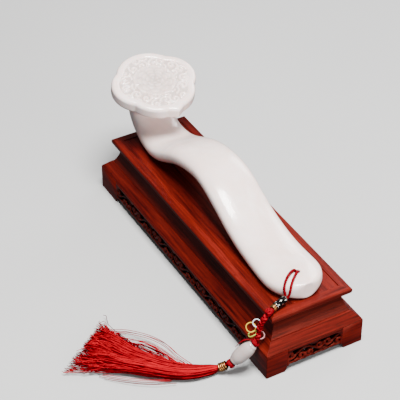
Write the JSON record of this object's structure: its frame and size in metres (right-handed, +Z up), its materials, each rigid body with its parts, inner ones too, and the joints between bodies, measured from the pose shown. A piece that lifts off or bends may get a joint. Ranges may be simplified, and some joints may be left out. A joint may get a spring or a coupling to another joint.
{
  "type": "ruyi sceptre on stand",
  "caption": "S-curved white jade ruyi with a cloud-shaped head on a fitted, footed hardwood stand, with a knotted cord pendant, beads and a tassel through its tail.",
  "frame": {"origin": "centre of the stand's footprint, on the floor under its feet", "axes": "+X along the stand from the ruyi's head to its tail, +Z up, the pendant hangs over the -Y side"},
  "size_m": [0.253, 0.1876, 0.1005],
  "materials": {
    "rosewood": "oiled red hardwood, semi-gloss, straight grain along each board",
    "jade": "polished white jade, slightly translucent",
    "dark_bead": "glossy black with a plain silver pattern",
    "gilt": "gilt wire and ring, polished",
    "red_cord": "plaited red nylon cord",
    "red_silk": "loose red silk threads",
    "white_thread": "wrapped white thread",
    "gold_thread": "wrapped gold thread",
    "green_thread": "wrapped green thread",
    "pink_thread": "wrapped pink thread"
  },
  "bodies": {
    "stand": {"top_rail_left": "rosewood", "top_rail_right": "rosewood", "top_rail_tail": "rosewood", "top_rail_head": "rosewood", "waist_left": "rosewood", "waist_right": "rosewood", "waist_tail": "rosewood", "waist_head": "rosewood", "moulding_left": "rosewood", "moulding_right": "rosewood", "moulding_tail": "rosewood", "moulding_head": "rosewood", "apron_left": "rosewood", "apron_right": "rosewood", "apron_tail": "rosewood", "apron_head": "rosewood", "foot_tail_left": "rosewood", "foot_tail_right": "rosewood", "foot_head_left": "rosewood", "foot_head_right": "rosewood", "top_panel": "rosewood", "corner_blocks": "rosewood"},
    "ruyi": {"ruyi_body": "jade", "stopper_knot": "red_cord", "strand_near": "red_cord", "strand_far": "red_cord", "round_knot": "red_cord", "braid": "red_cord", "bead_knot": "red_cord", "collar_knot": "red_cord", "loop_white": "white_thread", "loop_gold": "gold_thread", "loop_green": "green_thread", "loop_pink": "pink_thread"},
    "black_bead": {"black_bead": "dark_bead"},
    "gold_spacer": {"gold_spacer": "gilt"},
    "jade_bead": {"jade_bead": "jade"},
    "tassel": {"gold_coil": "gilt", "tassel_skirt": "red_silk"}
  },
  "joints": [
    {"name": "ruyi_lift", "type": "slide", "parent": "stand", "child": "ruyi", "axis": [0, 0, 1], "range_m": [0, 0.06]},
    {"name": "black_bead_spin", "type": "hinge", "parent": "ruyi", "child": "black_bead", "pos_m": [0.1052, -0.0159, 0.0502], "axis": [0.2277, -0.965, -0.1301], "continuous": true},
    {"name": "gold_spacer_spin", "type": "hinge", "parent": "ruyi", "child": "gold_spacer", "pos_m": [0.1073, -0.0248, 0.049], "axis": [0.3785, -0.9236, -0.0606], "continuous": true},
    {"name": "jade_bead_spin", "type": "hinge", "parent": "ruyi", "child": "jade_bead", "pos_m": [0.1087, -0.0414, 0.0242], "axis": [-0.2211, -0.6843, -0.6949], "continuous": true},
    {"name": "tassel_swing", "type": "hinge", "parent": "ruyi", "child": "tassel", "pos_m": [0.10406, -0.05577, 0.00961], "axis": [0, 0, 1], "range_deg": [-20, 20]}
  ]
}
